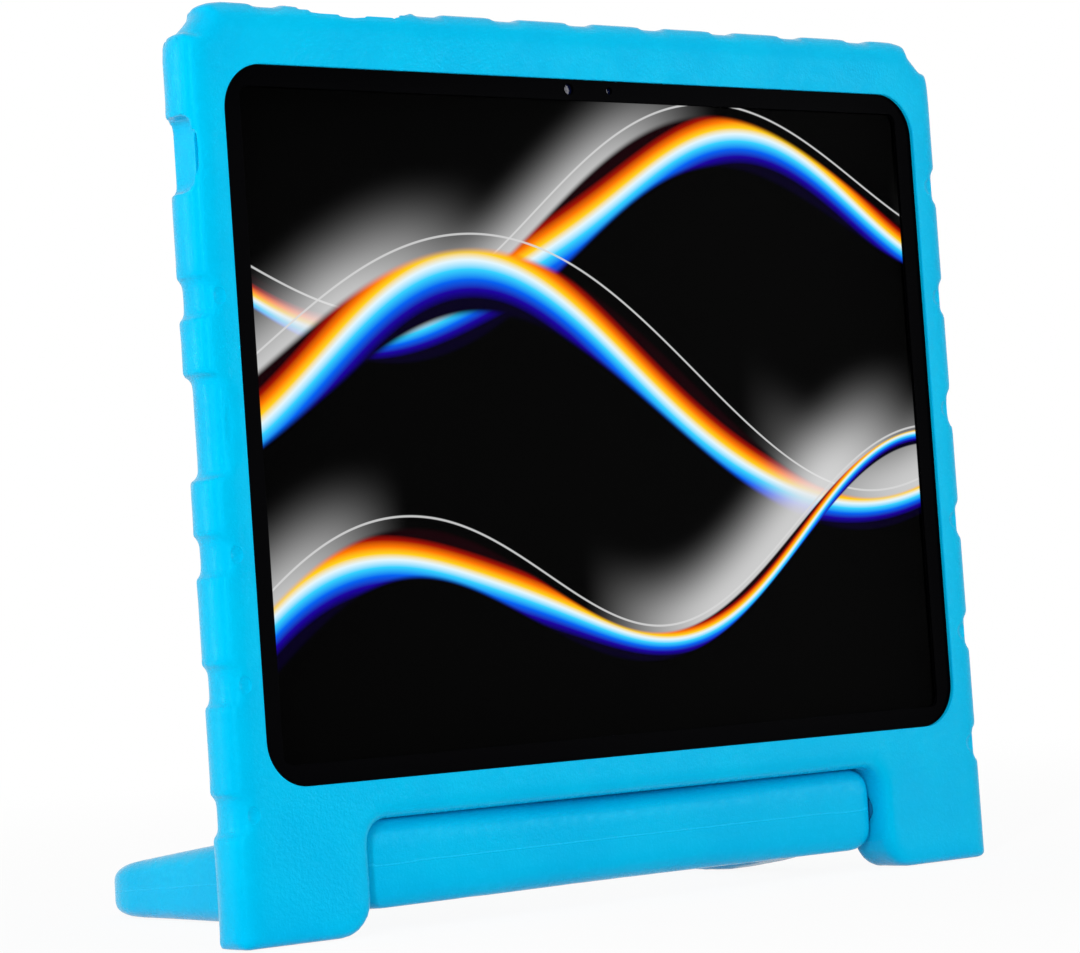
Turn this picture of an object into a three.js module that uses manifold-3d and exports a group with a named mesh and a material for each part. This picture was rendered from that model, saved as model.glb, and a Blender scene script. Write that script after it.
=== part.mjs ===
// Children's foam tablet case with a hinged carrying handle that folds out as a stand.
// Millimetres, +Z up, +X to the right of a viewer in front of the screen, the screen faces -Y.
// The origin is on the table, under the middle of the whole object.

import * as THREE from 'three';
import { mergeVertices } from 'three/addons/utils/BufferGeometryUtils.js';
import Module from 'manifold-3d';

const wasm = await Module();
wasm.setup();

// Tablet
const tabletWidth = 281.6;
const tabletHeight = 215.5;
const tabletThickness = 5.1;
const tabletCornerRadius = 15;
const tabletEdgeRadius = 0.9;
const glassThickness = 0.8;
const glassInset = 0.5;
const displayBorder = 7.4;
const displayThickness = 1.4;
const displayCornerRadius = 3.5;
const glassEdgeRadius = 0.25;
const stackGap = 0.15;

// Foam case
const tabletClearance = 0.4;
const lipOverlap = 0.9;
const lipThickness = 1.2;
const lipEdge = 0.7;
const sideWall = 11.2;
const topWall = 17.8;
const bottomWall = 10.5;
const backWall = 12.1;
const cornerRadius = 17;
const frontEdgeRadius = 6;
const rearEdgeRadius = 8.5;
const standTilt = THREE.MathUtils.degToRad(1);

// Feet and the notch between them
const footWidth = 47.4;
const footHeight = 34;
const footOuterRadius = 4;
const footInnerRadius = 11;
const notchCornerRadius = 7;
const notchEdgeRadius = 3.5;

// Grip grooves
const grooveDepth = 1.8;
const grooveFloor = 7.5;
const grooveFlank = 2.6;
const grooveLip = 1.2;
const sideGroovePitch = 37.9;
const sideGrooveCount = 6;
const topGrooveDepth = 0.9;
const topGroovePitch = 30.1;
const topGrooveCount = 9;
const longRecessLength = 26;
const longRecessDepth = 2.8;
const cornerGrooveDepth = 2.6;

// Openings for the buttons, the port and the camera
const scoopDepth = 5.4;
const scoopStart = 2.6;
const powerScoopLength = 17;
const powerSlotLength = 14;
const volumeScoopDepth = 9;
const volumeScoopLength = 38;
const volumeSlotLength = 34;
const slotHeight = 5;
const powerFromTop = 27.5;
const volumeFromSide = 52;
const portSlotLength = 16;
const portSlotHeight = 7;
const cameraFromCorner = 27.5;
const cameraHoleSize = 47;
const cameraHoleRadius = 13;
const cameraHoleFlare = 3;

// Handle ring
const handleSideGap = 1;
const handleTopGap = 0.9;
const handleHeight = 26.2;
const handleSetback = 6;
const handleReach = 154;
const frontBarDepth = 20;
const rearBarDepth = 24;
const legWidth = 24;
const handleEdgeRadius = 7;
const handleFrontCorner = 3;
const handleRearCorner = 26;
const handleGripCorner = 16;
const handleFall = 1.2;
const rearBarHeight = 15;
const heelDistance = 55;
const handleArcSteps = 8;
const handleSidePieces = 8;

// Hinge
const hingeBehindFront = 12;
const pinRadius = 2.6;
const pinRunningGap = 0.1;
const pinChamfer = 0.5;
const collarRadius = 3.5;
const collarLength = 8;
const collarInset = 3;
const bushWall = 1.6;
const bushLength = 12;
const seatGap = 0.3;

// Small parts of the tablet
const buttonWidth = 2.2;
const buttonDepth = 1.6;
const buttonProud = 0.45;
const buttonTravelGap = 0.4;
const buttonEdgeRadius = 0.25;
const powerButtonLength = 10;
const volumeButtonLength = 11;
const volumeButtonPitch = 15;
const portWidth = 8.4;
const portHeight = 2.6;
const portToDisplay = 0.8;
const portWall = 0.3;
const tongueThickness = 0.7;
const tongueSetback = 1.55;
const cameraPlateSize = 38;
const cameraPlateRadius = 10;
const cameraPlateThickness = 1.8;
const cameraPlateBevel = 0.6;
const lensRingRadius = 8.4;
const lensRingWall = 1.6;
const lensRingHeight = 1.3;
const lensFromEdge = 3;
const depthWindowRadius = 4;
const flashWindowRadius = 3.4;
const windowSeatDepth = 0.9;
const windowThickness = 0.75;
const frontCameraRadius = 1.8;
const lightSensorRadius = 1.2;
const frontCameraOffset = -8;
const lightSensorOffset = 8.5;

// Sizes that follow from those above
const displayWidth = tabletWidth - 2 * displayBorder;
const displayHeight = tabletHeight - 2 * displayBorder;
const portDepth = displayBorder - portToDisplay;
const tongueStart = portWall + stackGap - portDepth;
const windowWidth = tabletWidth - 2 * lipOverlap;
const windowHeight = tabletHeight - 2 * lipOverlap;
const pocketWidth = tabletWidth + 2 * tabletClearance;
const pocketHeight = tabletHeight + 2 * tabletClearance;
const pocketDepth = tabletThickness + 2 * seatGap;
const caseWidth = pocketWidth + 2 * sideWall;
const caseTop = pocketHeight / 2 + topWall;
const notchTop = -pocketHeight / 2 - bottomWall;
const soleLevel = notchTop - footHeight;
const caseThickness = lipThickness + pocketDepth + backWall;
const notchWidth = caseWidth - 2 * footWidth;
const tabletFront = -lipThickness - seatGap;
const tabletBack = tabletFront - tabletThickness;
const tabletMiddle = (tabletFront + tabletBack) / 2;
const housingFront = tabletFront - glassThickness - stackGap;
const displayFront = housingFront - stackGap;
const displayBack = displayFront - displayThickness;
const cameraPlateTop = stackGap + cameraPlateThickness;
const windowSeat = cameraPlateTop - windowSeatDepth;
const lensRadius = lensRingRadius - lensRingWall - seatGap;
const lensOffset = cameraPlateSize / 2 - lensRingRadius - lensFromEdge;
const lensPlace = [lensOffset, -lensOffset];
const depthPlace = [-lensOffset, -lensOffset];
const flashPlace = [-lensOffset, lensOffset];
const cameraX = -tabletWidth / 2 + cameraFromCorner;
const cameraY = tabletHeight / 2 - cameraFromCorner;
const powerY = tabletHeight / 2 - powerFromTop;
const volumeX = -tabletWidth / 2 + volumeFromSide;
const hingeLevel = notchTop - handleTopGap - handleHeight / 2;
const handleWidth = notchWidth - 2 * handleSideGap;
const handleFront = handleSetback - hingeBehindFront;
const barMiddle = handleFront + frontBarDepth / 2;
const bushRadius = pinRadius + pinRunningGap + bushWall;
const tableLevel = soleLevel * Math.cos(standTilt) - notchEdgeRadius * Math.sin(standTilt);
const hingeHeight = hingeLevel * Math.cos(standTilt) - hingeBehindFront * Math.sin(standTilt) - tableLevel;
const hingeSetback = hingeBehindFront * Math.cos(standTilt) + hingeLevel * Math.sin(standTilt);

// Finishes
const foam = new THREE.MeshStandardMaterial({ color: 0x00b4e6, roughness: 0.5, metalness: 0 });
const hingePlastic = new THREE.MeshStandardMaterial({ color: 0x0a8fc4, roughness: 0.4, metalness: 0 });
const aluminium = new THREE.MeshStandardMaterial({ color: 0x3a3c40, roughness: 0.38, metalness: 1 });
const blackGlass = new THREE.MeshStandardMaterial({ color: 0x050507, roughness: 0.06, metalness: 0 });
const screen = new THREE.MeshStandardMaterial({ color: 0x101218, roughness: 0.2, metalness: 0 });
const lensGlass = new THREE.MeshStandardMaterial({ color: 0x0b1020, roughness: 0.05, metalness: 0 });
const flashGlass = new THREE.MeshStandardMaterial({ color: 0xe8dfc0, roughness: 0.25, metalness: 0 });
const steel = new THREE.MeshStandardMaterial({ color: 0x9a9ca0, roughness: 0.3, metalness: 1 });
const blackPlastic = new THREE.MeshStandardMaterial({ color: 0x18181a, roughness: 0.5, metalness: 0 });

// Turns a closed geometry into a solid that can be joined and cut.
function solidOf(geometry) {
  const bare = geometry.clone();
  bare.deleteAttribute('normal');
  bare.deleteAttribute('uv');
  const merged = mergeVertices(bare, 1e-4);
  return new wasm.Manifold(new wasm.Mesh({
    numProp: 3,
    vertProperties: new Float32Array(merged.attributes.position.array),
    triVerts: new Uint32Array(merged.index.array),
  }));
}

// Turns a solid back into a geometry.
function geometryOf(solid) {
  const mesh = solid.getMesh();
  const geometry = new THREE.BufferGeometry();
  geometry.setAttribute('position', new THREE.BufferAttribute(new Float32Array(mesh.vertProperties), 3));
  geometry.setIndex(new THREE.BufferAttribute(new Uint32Array(mesh.triVerts), 1));
  geometry.computeVertexNormals();
  return geometry;
}

// Cuts every tool away from a solid.
function cutSolid(solid, tools) {
  return tools.reduce((rest, tool) => rest.subtract(solidOf(tool)), solid);
}

// Cuts every tool away from a geometry.
function cut(body, tools) {
  return geometryOf(cutSolid(solidOf(body), tools));
}

function named(name, geometry, material) {
  const mesh = new THREE.Mesh(geometry, material);
  mesh.name = name;
  return mesh;
}

// An outline through corners [x, y, radius], each rounded by an arc of its own radius.
function filleted(corners, arcSteps = 6) {
  const points = [];
  corners.forEach(([x, y, radius], index) => {
    const [beforeX, beforeY] = corners[(index + corners.length - 1) % corners.length];
    const [afterX, afterY] = corners[(index + 1) % corners.length];
    const corner = new THREE.Vector2(x, y);
    const toBefore = new THREE.Vector2(beforeX, beforeY).sub(corner).normalize();
    const toAfter = new THREE.Vector2(afterX, afterY).sub(corner).normalize();
    const halfAngle = Math.acos(THREE.MathUtils.clamp(toBefore.dot(toAfter), -1, 1)) / 2;
    const bisector = toBefore.clone().add(toAfter).normalize();
    const centre = corner.clone().addScaledVector(bisector, radius / Math.sin(halfAngle));
    const start = corner.clone().addScaledVector(toBefore, radius / Math.tan(halfAngle));
    const turn = Math.sign(toBefore.cross(toAfter)) * (2 * halfAngle - Math.PI);
    for (let step = 0; step <= arcSteps; step += 1) {
      points.push(start.clone().rotateAround(centre, (turn * step) / arcSteps));
    }
  });
  return points;
}

// A shape through points, without the ones that coincide where two arcs meet.
function shapeOf(points) {
  return new THREE.Shape(points.filter((point, index) => point.distanceTo(points.at(index - 1)) > 1e-3));
}

// The four corners of a rectangle about (x, y), anticlockwise, all with one radius.
function rectangle(width, height, radius, x = 0, y = 0) {
  return [
    [x - width / 2, y - height / 2, radius],
    [x + width / 2, y - height / 2, radius],
    [x + width / 2, y + height / 2, radius],
    [x - width / 2, y + height / 2, radius],
  ];
}

// A plate of an outline between two levels, with its edges rounded by bevel at both faces.
function plate(points, bottom, top, bevel = 0, bevelSteps = 3) {
  const geometry = new THREE.ExtrudeGeometry(shapeOf(points), {
    depth: top - bottom - 2 * bevel,
    bevelEnabled: bevel > 0,
    bevelThickness: bevel,
    bevelSize: bevel,
    bevelOffset: -bevel,
    bevelSegments: bevelSteps,
  });
  return geometry.translate(0, 0, bottom + bevel);
}

// Widens the mouth of an opening by a chamfer that ends at the given level.
function mouthTool(points, level, chamfer) {
  return new THREE.ExtrudeGeometry(shapeOf(points), {
    depth: chamfer,
    bevelThickness: chamfer,
    bevelSize: chamfer,
    bevelSegments: 1,
  }).translate(0, 0, level);
}

// A disc or post about an axis along z.
function disc(radius, bottom, top, x = 0, y = 0, sides = 32) {
  return new THREE.CylinderGeometry(radius, radius, top - bottom, sides)
    .rotateX(Math.PI / 2)
    .translate(x, y, (bottom + top) / 2);
}

// Lays a tool drawn as (outward, forward) and extruded along a wall onto that wall.
function alongWall(geometry, outward, x, y) {
  const forward = new THREE.Vector3(0, 0, 1);
  const along = new THREE.Vector3().crossVectors(outward, forward);
  const basis = new THREE.Matrix4().makeBasis(outward, forward, along).setPosition(x, y, 0);
  return geometry.applyMatrix4(basis);
}

// The tool of one grip groove: its floor follows the wall and runs out over both rounded edges.
function grooveTool(depth, floor) {
  const reach = 3 * depth;
  const runOut = grooveLip + depth - grooveDepth;
  const frontRun = frontEdgeRadius + runOut;
  const rearRun = rearEdgeRadius + runOut;
  const outline = new THREE.Shape();
  outline.moveTo(reach, reach);
  outline.lineTo(-frontRun, reach);
  outline.lineTo(-frontRun, 0);
  outline.absellipse(-frontRun, -frontRun, frontRun - depth, frontRun, Math.PI / 2, 0, true);
  outline.lineTo(-depth, -caseThickness + rearRun);
  outline.absellipse(-rearRun, -caseThickness + rearRun, rearRun - depth, rearRun, 0, -Math.PI / 2, true);
  outline.lineTo(-rearRun, -caseThickness - reach);
  outline.lineTo(reach, -caseThickness - reach);
  return new THREE.ExtrudeGeometry(outline, {
    curveSegments: 5,
    depth: floor,
    bevelThickness: grooveFlank,
    bevelSize: depth,
    bevelOffset: -depth,
    bevelSegments: 2,
  }).translate(0, 0, -floor / 2);
}

// The tool of a finger scoop: it starts behind the front edge and opens at the back.
function scoopTool(depth, floor) {
  const reach = 3 * grooveFlank;
  const outline = new THREE.Shape();
  outline.moveTo(reach, -scoopStart);
  outline.lineTo(0, -scoopStart);
  outline.absarc(0, -scoopStart - depth, depth, Math.PI / 2, Math.PI, false);
  outline.lineTo(-depth, -caseThickness - reach);
  outline.lineTo(reach, -caseThickness - reach);
  return new THREE.ExtrudeGeometry(outline, {
    curveSegments: 5,
    depth: floor,
    bevelThickness: grooveFlank,
    bevelSize: grooveFlank,
    bevelOffset: -grooveFlank,
    bevelSegments: 2,
  }).translate(0, 0, -floor / 2);
}

// A slot through a wall, drawn as (along, forward) and extruded outwards.
function slotTool(length, height, depthFrom, depthTo) {
  return plate(filleted(rectangle(length, height, height * 0.4), 3), depthFrom, depthTo);
}

// Case body
function caseOutline() {
  const half = caseWidth / 2;
  const notch = notchWidth / 2;
  return filleted([
    [-half, soleLevel, footOuterRadius],
    [-notch, soleLevel, footInnerRadius],
    [-notch, notchTop, notchCornerRadius],
    [notch, notchTop, notchCornerRadius],
    [notch, soleLevel, footInnerRadius],
    [half, soleLevel, footOuterRadius],
    [half, caseTop, cornerRadius],
    [-half, caseTop, cornerRadius],
  ]);
}

// The same sides and top carried on below the soles, so that only they take its edge radius.
function shroud(radius, bottom, top) {
  const below = soleLevel - caseThickness;
  const middle = (caseTop + below) / 2;
  const corners = rectangle(caseWidth, caseTop - below, cornerRadius, 0, middle);
  return plate(filleted(corners), bottom, top, radius, 3);
}

function grooves() {
  const left = new THREE.Vector3(-1, 0, 0);
  const right = new THREE.Vector3(1, 0, 0);
  const up = new THREE.Vector3(0, 1, 0);
  const tools = [];
  const middle = (sideGrooveCount - 2) / 2;
  for (let index = 0; index < sideGrooveCount; index += 1) {
    const y = (middle - index) * sideGroovePitch;
    tools.push(alongWall(grooveTool(grooveDepth, grooveFloor), right, caseWidth / 2, y));
    if (index > 0 && index !== middle) {
      tools.push(alongWall(grooveTool(grooveDepth, grooveFloor), left, -caseWidth / 2, y));
    }
  }
  tools.push(alongWall(grooveTool(longRecessDepth, longRecessLength), left, -caseWidth / 2, 0));
  for (let index = 0; index < topGrooveCount; index += 1) {
    const x = (index - (topGrooveCount - 1) / 2) * topGroovePitch;
    tools.push(alongWall(grooveTool(topGrooveDepth, grooveFloor), up, x, caseTop));
  }
  const inset = cornerRadius * (1 - Math.SQRT1_2);
  for (const side of [-1, 1]) {
    const outward = new THREE.Vector3(side, 1, 0).normalize();
    const tool = grooveTool(cornerGrooveDepth, grooveFloor);
    tools.push(alongWall(tool, outward, side * (caseWidth / 2 - inset), caseTop - inset));
  }
  return tools;
}

function buttonOpenings() {
  const left = new THREE.Vector3(-1, 0, 0);
  const up = new THREE.Vector3(0, 1, 0);
  const edge = tabletClearance + seatGap;
  const power = slotTool(powerSlotLength, slotHeight, -edge, sideWall + edge)
    .rotateZ(Math.PI / 2)
    .rotateY(-Math.PI / 2)
    .translate(-pocketWidth / 2, powerY, tabletMiddle);
  const volume = slotTool(volumeSlotLength, slotHeight, -edge, topWall + edge)
    .rotateX(-Math.PI / 2)
    .translate(volumeX, pocketHeight / 2, tabletMiddle);
  return [
    alongWall(scoopTool(scoopDepth, powerScoopLength), left, -caseWidth / 2, powerY),
    alongWall(scoopTool(volumeScoopDepth, volumeScoopLength), up, volumeX, caseTop),
    power,
    volume,
  ];
}

function portOpening() {
  const edge = tabletClearance + seatGap;
  const level = tabletMiddle + (slotHeight - portSlotHeight) / 2;
  return slotTool(portSlotLength, portSlotHeight, -edge, sideWall + edge)
    .rotateZ(Math.PI / 2)
    .rotateY(Math.PI / 2)
    .translate(pocketWidth / 2, 0, level);
}

// The window, the pocket behind its lip and the camera hole through the back wall.
function tabletOpenings() {
  const windowPoints = filleted(rectangle(windowWidth, windowHeight, tabletCornerRadius - lipOverlap), 8);
  const pocketRadius = tabletCornerRadius + tabletClearance;
  const pocketPoints = filleted(rectangle(pocketWidth, pocketHeight, pocketRadius), 8);
  const holeCorners = rectangle(cameraHoleSize, cameraHoleSize, cameraHoleRadius, cameraX, cameraY);
  const holePoints = filleted(holeCorners, 8);
  const cameraMouth = mouthTool(holePoints, 0, cameraHoleFlare)
    .translate(-cameraX, 0, 0)
    .rotateY(Math.PI)
    .translate(cameraX, 0, -caseThickness);
  return [
    plate(windowPoints, tabletMiddle, lipThickness),
    mouthTool(windowPoints, 0, lipEdge),
    plate(pocketPoints, -lipThickness - pocketDepth, -lipThickness),
    plate(holePoints, -2 * caseThickness, tabletMiddle),
    cameraMouth,
  ];
}

// The seats of the hinge bushes in the inner walls of the feet.
function bushSeats() {
  const radius = bushRadius + seatGap;
  const length = 2 * (bushLength + seatGap);
  return [-1, 1].map((side) => new THREE.CylinderGeometry(radius, radius, length, 32)
    .rotateZ(Math.PI / 2)
    .translate((side * notchWidth) / 2, hingeLevel, -hingeBehindFront));
}

// Everything below the table top, which trims the soles flat.
function underTable() {
  const level = (tableLevel - caseThickness) / Math.cos(standTilt);
  return new THREE.BoxGeometry(2 * caseWidth, 2 * caseThickness, 4 * caseThickness)
    .rotateX(standTilt)
    .translate(0, level, 0);
}

function caseBody() {
  const block = solidOf(plate(caseOutline(), -caseThickness, 0, notchEdgeRadius))
    .intersect(solidOf(shroud(frontEdgeRadius, -2 * caseThickness, 0)))
    .intersect(solidOf(shroud(rearEdgeRadius, -caseThickness, caseThickness)));
  return geometryOf(cutSolid(block, [
    ...tabletOpenings(),
    ...bushSeats(),
    ...grooves(),
    ...buttonOpenings(),
    portOpening(),
    underTable(),
  ]));
}

// Handle ring, drawn in plan with x to the right and y backwards from the hinge axis.
// Its outlines have the same number of points, so that each outer point has an inner partner.
function ringStations(corners) {
  const points = filleted(corners, handleArcSteps);
  return points.flatMap((point, index) => {
    const next = points[(index + 1) % points.length];
    const pieces = (index + 1) % (handleArcSteps + 1) === 0 ? handleSidePieces : 1;
    return Array.from({ length: pieces }, (_, piece) => point.clone().lerp(next, piece / pieces));
  });
}

// The ring gets lower towards its rear bar, and its underside comes down to the table.
function ringLevel(back, share) {
  const along = THREE.MathUtils.clamp((back - barMiddle) / (handleReach - barMiddle), 0, 1);
  const down = THREE.MathUtils.smoothstep(back, barMiddle, heelDistance);
  const underside = THREE.MathUtils.lerp(-handleHeight / 2, -hingeHeight, down);
  const top = THREE.MathUtils.lerp(handleHeight / 2, rearBarHeight - hingeHeight, along ** handleFall);
  return THREE.MathUtils.lerp(underside, top, share);
}

// The rounded section of the ring between an inner point and its outer partner.
function ringSection(inner, outer) {
  const width = inner.distanceTo(outer);
  const corners = rectangle(width, handleHeight, handleEdgeRadius, width / 2);
  return filleted(corners, 4).map(({ x, y }) => {
    const place = inner.clone().lerp(outer, x / width);
    return new THREE.Vector3(place.x, place.y, ringLevel(place.y, y / handleHeight + 0.5));
  });
}

// A closed ring through sections that all have the same number of points.
function loft(sections) {
  const count = sections[0].length;
  const index = [];
  sections.forEach((_, station) => {
    const here = station * count;
    const there = ((station + 1) % sections.length) * count;
    for (let step = 0; step < count; step += 1) {
      const next = (step + 1) % count;
      index.push(here + step, there + step, there + next);
      index.push(here + step, there + next, here + next);
    }
  });
  const position = sections.flat().flatMap((point) => point.toArray());
  const geometry = new THREE.BufferGeometry();
  geometry.setAttribute('position', new THREE.Float32BufferAttribute(position, 3));
  geometry.setIndex(index);
  return geometry;
}

function handleBlank() {
  const half = handleWidth / 2;
  const innerHalf = half - legWidth;
  const innerFront = handleFront + frontBarDepth;
  const innerRear = handleReach - rearBarDepth;
  const outer = ringStations([
    [-half, handleFront, handleFrontCorner],
    [half, handleFront, handleFrontCorner],
    [half, handleReach, handleRearCorner],
    [-half, handleReach, handleRearCorner],
  ]);
  const inner = ringStations([
    [-innerHalf, innerFront, handleGripCorner],
    [innerHalf, innerFront, handleGripCorner],
    [innerHalf, innerRear, handleGripCorner],
    [-innerHalf, innerRear, handleGripCorner],
  ]);
  return loft(outer.map((point, index) => ringSection(inner[index], point)));
}

// Turns a profile of [radius, distance] pairs about the hinge axis, on one side of the object.
function turned(profile, side) {
  const points = profile.map(([radius, distance]) => new THREE.Vector2(radius, distance));
  return new THREE.LatheGeometry(points, 32).rotateZ((-side * Math.PI) / 2);
}

// A peg whose collar is moulded into the ring and whose pin turns in the bush of the foot.
function pinProfile(gap) {
  const collarEnd = handleWidth / 2 - collarInset;
  const collarStart = collarEnd - collarLength;
  const pinEnd = notchWidth / 2 + bushLength - seatGap;
  return [
    [0, collarStart - gap],
    [collarRadius - pinChamfer + gap, collarStart - gap],
    [collarRadius + gap, collarStart + pinChamfer - gap],
    [collarRadius + gap, collarEnd + gap],
    [pinRadius + gap, collarEnd + gap],
    [pinRadius + gap, pinEnd - pinChamfer],
    [pinRadius - pinChamfer, pinEnd],
    [0, pinEnd],
  ];
}

function handleRing() {
  return cut(handleBlank(), [-1, 1].map((side) => turned(pinProfile(seatGap), side)));
}

function hingePin(side) {
  return turned(pinProfile(0), side);
}

function hingeBush(side) {
  const mouth = notchWidth / 2 + seatGap;
  const end = notchWidth / 2 + bushLength;
  const bore = pinRadius + pinRunningGap;
  return turned([[bore, mouth], [bushRadius, mouth], [bushRadius, end], [bore, end], [bore, mouth]], side);
}

// Tablet
function buttonOutline(length, grow) {
  const corners = rectangle(length + 2 * grow, buttonWidth + 2 * grow, buttonWidth / 2 + grow);
  return filleted(corners, 5);
}

function buttonPlaces() {
  const atTop = (x) => (geometry) => geometry
    .rotateX(-Math.PI / 2)
    .translate(x, tabletHeight / 2, tabletMiddle);
  const atLeft = (geometry) => geometry
    .rotateZ(Math.PI / 2)
    .rotateY(-Math.PI / 2)
    .translate(-tabletWidth / 2, powerY, tabletMiddle);
  return [
    { name: 'power_button', length: powerButtonLength, place: atLeft },
    { name: 'volume_up_button', length: volumeButtonLength, place: atTop(volumeX - volumeButtonPitch / 2) },
    { name: 'volume_down_button', length: volumeButtonLength, place: atTop(volumeX + volumeButtonPitch / 2) },
  ];
}

function portOutline(grow) {
  const corners = rectangle(
    portWidth + 2 * grow,
    portHeight + 2 * grow,
    portHeight / 2 + grow,
  );
  return filleted(corners, 6);
}

function atPort(geometry) {
  return geometry
    .rotateZ(Math.PI / 2)
    .rotateY(Math.PI / 2)
    .translate(tabletWidth / 2, 0, tabletMiddle);
}

// The outline of the display, or of its seat when it grows by a gap.
function displayOutline(grow) {
  const corners = rectangle(displayWidth + 2 * grow, displayHeight + 2 * grow, displayCornerRadius + grow);
  return filleted(corners, 3);
}

function tabletHousing() {
  const outline = filleted(rectangle(tabletWidth, tabletHeight, tabletCornerRadius), 8);
  const shell = plate(outline, tabletBack, housingFront, tabletEdgeRadius, 2);
  const displaySeat = plate(displayOutline(seatGap), displayBack - stackGap, tabletFront);
  const sensorSeats = frontSensors().map(({ x, y, radius }) => (
    disc(radius + seatGap, displayBack - stackGap, tabletFront, x, y, 20)
  ));
  const buttonFloor = buttonProud - buttonDepth - buttonTravelGap;
  const buttonSeats = buttonPlaces().map(({ length, place }) => (
    place(plate(buttonOutline(length, seatGap), buttonFloor, buttonDepth))
  ));
  const socket = atPort(plate(portOutline(portWall + seatGap), -portDepth - seatGap, portDepth));
  return cut(shell, [displaySeat, ...sensorSeats, ...buttonSeats, socket]);
}

function displayPanel() {
  return plate(displayOutline(0), displayBack, displayFront);
}

function coverGlass() {
  const width = tabletWidth - 2 * glassInset;
  const height = tabletHeight - 2 * glassInset;
  const outline = filleted(rectangle(width, height, tabletCornerRadius - glassInset), 8);
  return plate(outline, tabletFront - glassThickness, tabletFront, glassEdgeRadius, 2);
}

function frontSensors() {
  const y = (tabletHeight / 2 - glassInset + displayHeight / 2) / 2;
  return [
    { name: 'front_camera', x: frontCameraOffset, y, radius: frontCameraRadius },
    { name: 'light_sensor', x: lightSensorOffset, y, radius: lightSensorRadius },
  ];
}

function portShell() {
  const outer = plate(portOutline(portWall), -portDepth, 0);
  const inner = plate(portOutline(0), portWall - portDepth, portDepth);
  return atPort(cut(outer, [inner]));
}

function portTongue() {
  const corners = rectangle(portWidth - portHeight, tongueThickness, tongueThickness / 3);
  return atPort(plate(filleted(corners, 2), tongueStart, -tongueSetback));
}

// Rear camera, drawn on the back of the tablet with its depth measured backwards.
function onBack(geometry) {
  return geometry.rotateY(Math.PI).translate(cameraX, cameraY, tabletBack);
}

function rearCameraPlate() {
  const outline = filleted(rectangle(cameraPlateSize, cameraPlateSize, cameraPlateRadius), 6);
  const body = plate(outline, stackGap, cameraPlateTop, cameraPlateBevel, 2);
  const seats = [
    [lensRingRadius, lensPlace],
    [depthWindowRadius, depthPlace],
    [flashWindowRadius, flashPlace],
  ].map(([radius, [x, y]]) => disc(radius + seatGap, windowSeat, 2 * cameraPlateTop, x, y, 28));
  return onBack(cut(body, seats));
}

function rearCameraRing() {
  const bottom = windowSeat + stackGap;
  const ring = disc(lensRingRadius, bottom, bottom + lensRingHeight, ...lensPlace, 32);
  const hole = disc(lensRadius + seatGap, 0, 2 * cameraPlateTop, ...lensPlace, 32);
  return onBack(cut(ring, [hole]));
}

function rearWindow(radius, [x, y]) {
  const bottom = windowSeat + stackGap;
  return onBack(disc(radius, bottom, bottom + windowThickness, x, y, 28));
}

// Assembly
const stand = new THREE.Group();
stand.rotation.x = Math.PI / 2 - standTilt;
stand.position.z = -tableLevel;
stand.add(named('case_body', caseBody(), foam));
for (const [side, word] of [[-1, 'left'], [1, 'right']]) {
  const bush = named(`hinge_bush_${word}`, hingeBush(side), hingePlastic);
  bush.position.set(0, hingeLevel, -hingeBehindFront);
  stand.add(bush);
}
stand.add(named('tablet_housing', tabletHousing(), aluminium));
stand.add(named('display_panel', displayPanel(), screen));
stand.add(named('cover_glass', coverGlass(), blackGlass));
for (const { name, x, y, radius } of frontSensors()) {
  stand.add(named(name, disc(radius, displayBack, displayFront, x, y, 20), lensGlass));
}
for (const { name, length, place } of buttonPlaces()) {
  const outline = buttonOutline(length, 0);
  const button = plate(outline, buttonProud - buttonDepth, buttonProud, buttonEdgeRadius, 2);
  stand.add(named(name, place(button), aluminium));
}
stand.add(named('port_shell', portShell(), steel));
stand.add(named('port_tongue', portTongue(), blackPlastic));
stand.add(named('rear_camera_plate', rearCameraPlate(), aluminium));
stand.add(named('rear_camera_ring', rearCameraRing(), steel));
stand.add(named('rear_camera_lens', rearWindow(lensRadius, lensPlace), lensGlass));
stand.add(named('depth_sensor_window', rearWindow(depthWindowRadius, depthPlace), lensGlass));
stand.add(named('flash_window', rearWindow(flashWindowRadius, flashPlace), flashGlass));

const handle = new THREE.Group();
handle.position.set(0, hingeSetback, hingeHeight);
handle.add(named('handle_ring', handleRing(), foam));
handle.add(named('hinge_pin_left', hingePin(-1), hingePlastic));
handle.add(named('hinge_pin_right', hingePin(1), hingePlastic));

const part = new THREE.Group();
part.add(stand, handle);
part.updateMatrixWorld(true);
const extent = new THREE.Box3().setFromObject(part, true);
const middle = (extent.min.y + extent.max.y) / 2;
stand.position.y -= middle;
handle.position.y -= middle;

export default part;
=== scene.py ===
"""A child's foam tablet case on its fold-out handle, with the tablet seated in it.

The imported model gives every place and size. This script dresses its nodes, models the two foam
mouldings with their soft edges and parting lines, and sets up a plain pale studio.
"""
import bisect
import logging
import math
from dataclasses import dataclass, field
from enum import Enum
from typing import Iterable, Sequence

import bpy
from mathutils import Matrix, Vector


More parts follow.
